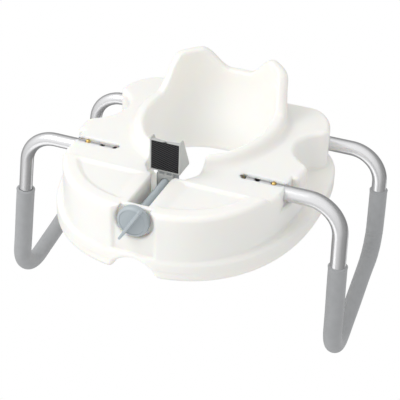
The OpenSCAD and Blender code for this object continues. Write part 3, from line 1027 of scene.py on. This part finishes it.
class SEAT_OT_clamp(bpy.types.Operator):
    """Make the clamp's bracket and its ribbed pad"""
    bl_idname = "seat.clamp"
    bl_label = "Clamp bracket and pad"

    def execute(self, context):
        s = context.scene.seat_clamp
        paint = moulded_plastic("bracket_paint", s.bracket_colour, 0.34, grain=1000.0,
                                relief=0.00006, mottle=0.95)
        field, lo, hi = bracket_field()
        cell = 0.8
        verts, quads, normals = skin(field, lo - 2, hi + 2, cell)
        bracket = mesh_object("clamp_bracket_casting", np.clip(verts, lo, hi), quads, normals)
        verts, quads, crest = pad_mesh(s.rib_pitch / MM)
        # The crest attribute also paints the rubber's crests paler: a painted highlight together with wear.
        pad = mesh_object("ribbed_pad", verts, quads, attributes={"crest": crest})
        fix_outward(pad)
        for piece, node, mat, slot in ((bracket, "clamp_bracket", paint, "bracket_paint"),
                                       (pad, "clamp_pad", ribbed_rubber_crest_sheen_and_wear(), "black_rubber")):
            give(piece, mat)
            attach(piece, "clamp")
            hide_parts(node)
        return {"FINISHED"}


class SEAT_OT_hardware(bpy.types.Operator):
    """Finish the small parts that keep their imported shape"""
    bl_idname = "seat.hardware"
    bl_label = "Small parts"

    def execute(self, context):
        grey = moulded_plastic("grey_plastic", (0.36, 0.38, 0.40), 0.45, mottle=0.93)
        dark = moulded_plastic("dark_plastic", (0.02, 0.02, 0.022), 0.5, mottle=0.8)
        zinc = plated("zinc_steel", (0.72, 0.73, 0.74), 0.3)
        spring = plated("spring_steel", (0.42, 0.43, 0.45), 0.28)
        finishes = {"screw_bushing": grey, "clamp_slide": grey, "knob_washer": zinc, "screw_clip": spring,
                    "clamp_nut": zinc, "bracket_rivets": zinc, "button_spring_left": spring,
                    "button_spring_right": spring, "tube_plugs_left": dark, "tube_plugs_right": dark}
        for node, mat in finishes.items():
            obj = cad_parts[node]
            for slot in obj.material_slots:
                slot.material = mat
        return {"FINISHED"}


# ------------------------------------------------------------------ stage

def area_light(name, place, target, size, power):
    """A round white lamp at place that points at target."""
    data = bpy.data.lights.new(name, "AREA")
    data.shape = "DISK"
    data.size = size
    data.energy = power
    obj = bpy.data.objects.new(name, data)
    obj.location = place
    obj.rotation_mode = "QUATERNION"
    obj.rotation_quaternion = (Vector(target) - Vector(place)).to_track_quat("-Z", "Y")
    bpy.context.scene.collection.objects.link(obj)


def surroundings(strength):
    """A white studio: pure white where the camera sees it, and an even dome for diffuse light.
    Polished parts see a bright bank of lamps on the key side and a dimmer room away from it."""
    world = bpy.data.worlds.new("studio")
    bpy.context.scene.world = world
    world.use_nodes = True
    tree = world.node_tree
    tree.nodes.clear()
    where = add_node(tree, "ShaderNodeTexCoord")
    ray = add_node(tree, "ShaderNodeLightPath")

    def dome(direction, points, tint, power):
        """Light whose level depends on how far round a look direction is from direction: the ramp
        runs from 0, straight away from it, to 1, straight at it."""
        side = add_node(tree, "ShaderNodeVectorMath", operation="DOT_PRODUCT")
        side.inputs[1].default_value = Vector(direction).normalized()
        tree.links.new(where.outputs["Generated"], side.inputs[0])
        half = add_node(tree, "ShaderNodeMath", operation="MULTIPLY_ADD")
        half.inputs[1].default_value = 0.5
        half.inputs[2].default_value = 0.5
        tree.links.new(side.outputs["Value"], half.inputs[0])
        ramp = add_node(tree, "ShaderNodeValToRGB")
        ramp.color_ramp.interpolation = "EASE"
        while len(ramp.color_ramp.elements) < len(points):
            ramp.color_ramp.elements.new(0.5)
        for element, (place, level) in zip(ramp.color_ramp.elements, points):
            element.position = place
            element.color = (level * tint[0], level * tint[1], level * tint[2], 1)
        tree.links.new(half.outputs["Value"], ramp.inputs["Fac"])
        light = add_node(tree, "ShaderNodeBackground", Strength=power)
        tree.links.new(ramp.outputs["Color"], light.inputs["Color"])
        return light

    even = ((0.0, 0.82), (0.5, 0.82), (0.9, 0.82))
    lamp_bank = ((0.0, 0.22), (0.45, 0.34), (0.72, 0.78), (0.86, 0.95))
    diffuse = dome((0.55, -0.55, -0.62), even, (1.0, 0.998, 0.99), 1.25 * strength)
    glossy = dome((0.27, -0.72, -0.63), lamp_bank, (1, 1, 1), 1.1)
    seen = add_node(tree, "ShaderNodeBackground", Color=(1, 1, 1, 1), Strength=1.0)
    first = add_node(tree, "ShaderNodeMixShader")
    tree.links.new(ray.outputs["Is Glossy Ray"], first.inputs[0])
    tree.links.new(diffuse.outputs[0], first.inputs[1])
    tree.links.new(glossy.outputs[0], first.inputs[2])
    mix = add_node(tree, "ShaderNodeMixShader")
    tree.links.new(ray.outputs["Is Camera Ray"], mix.inputs[0])
    tree.links.new(first.outputs[0], mix.inputs[1])
    tree.links.new(seen.outputs[0], mix.inputs[2])
    out = add_node(tree, "ShaderNodeOutputWorld")
    tree.links.new(mix.outputs[0], out.inputs["Surface"])


def one_sided_floor(colour, height):
    """A pale floor under the seat. Its lower side is clear, so the seat can be seen from below."""
    r = 40.0
    mesh = bpy.data.meshes.new("floor")
    mesh.from_pydata([(-r, -r, height), (r, -r, height), (r, r, height), (-r, r, height)], [], [(0, 1, 2, 3)])
    floor = bpy.data.objects.new("floor", mesh)
    bpy.context.scene.collection.objects.link(floor)
    mat, tree, shader = nodes_of("floor_paint")
    shader.inputs["Roughness"].default_value = 0.7
    tone = spread(tree, noise(tree, 3.0), 0, 1)
    tree.links.new(two_tone(tree, tone, colour, shade(colour, 0.985)), shader.inputs["Base Color"])
    clear = add_node(tree, "ShaderNodeBsdfTransparent")
    side = add_node(tree, "ShaderNodeNewGeometry")
    mix = add_node(tree, "ShaderNodeMixShader")
    out = tree.nodes["Material Output"]
    tree.links.new(side.outputs["Backfacing"], mix.inputs[0])
    tree.links.new(shader.outputs[0], mix.inputs[1])
    tree.links.new(clear.outputs[0], mix.inputs[2])
    tree.links.new(mix.outputs[0], out.inputs["Surface"])
    give(floor, mat)
    floor.visible_shadow = False
    floor.visible_diffuse = False
    floor.visible_glossy = False


class SEAT_OT_stage(bpy.types.Operator):
    """Set up the camera, lights and floor"""
    bl_idname = "seat.stage"
    bl_label = "Stage"

    def execute(self, context):
        s = context.scene.seat_stage
        data = bpy.data.cameras.new("camera")
        data.lens = s.lens
        data.sensor_width = 36.0
        data.shift_x = -0.004
        camera = bpy.data.objects.new("camera", data)
        context.scene.collection.objects.link(camera)
        ca, sa = math.cos(s.elevation), math.sin(s.elevation)
        look = Vector((-math.sin(s.azimuth) * ca, math.cos(s.azimuth) * ca, -sa))
        right = look.cross(Vector((0, 0, 1))).normalized()
        up = right.cross(look)
        turned = math.cos(s.roll) * right + math.sin(s.roll) * up
        top = turned.cross(look)
        axes = Matrix((turned, top, -look)).transposed().to_4x4()
        axes.translation = Vector(s.target) - look * s.distance
        camera.matrix_world = axes
        data.clip_start, data.clip_end = 0.05, 100.0
        context.scene.camera = camera
        surroundings(s.ambient)
        middle = (0, -0.05, 0.08)
        area_light("key", (1.3, -1.3, -1.6), middle, 1.4, s.key)
        area_light("top", (0.9, -1.2, 1.9), middle, 1.6, 0.25 * s.key)
        area_light("back", (-1.2, 1.5, 1.5), middle, 1.4, 0.12 * s.key)
        one_sided_floor(s.floor, CAD_BOX[0].z - 0.0015)
        context.scene.view_settings.view_transform = "Standard"
        context.scene.view_settings.look = "None"
        return {"FINISHED"}


class SEAT_PT_panel(bpy.types.Panel):
    """Lists the pieces of the seat in the sidebar"""
    bl_idname = "SEAT_PT_panel"
    bl_label = "Raised Toilet Seat"
    bl_space_type = "VIEW_3D"
    bl_region_type = "UI"
    bl_category = "Raised Seat"

    def draw(self, context):
        for operator in OPERATORS:
            self.layout.operator(operator.bl_idname)
        for name, kind in SETTINGS.items():
            box = self.layout.box()
            for key in kind.__annotations__:
                box.prop(getattr(context.scene, name), key)


OPERATORS = (SEAT_OT_stage, SEAT_OT_shell, SEAT_OT_tubes, SEAT_OT_sleeves, SEAT_OT_buttons, SEAT_OT_knob,
             SEAT_OT_clamp, SEAT_OT_hardware)


def register():
    for cls in (*SETTINGS.values(), *OPERATORS, SEAT_PT_panel):
        bpy.utils.register_class(cls)
    for name, kind in SETTINGS.items():
        setattr(bpy.types.Scene, name, PointerProperty(type=kind))


def unregister():
    for name in SETTINGS:
        delattr(bpy.types.Scene, name)
    for cls in reversed((*SETTINGS.values(), *OPERATORS, SEAT_PT_panel)):
        bpy.utils.unregister_class(cls)


def main():
    register()
    for operator in OPERATORS:
        group, name = operator.bl_idname.split(".")
        getattr(getattr(bpy.ops, group), name)()


if __name__ == "__main__":
    main()
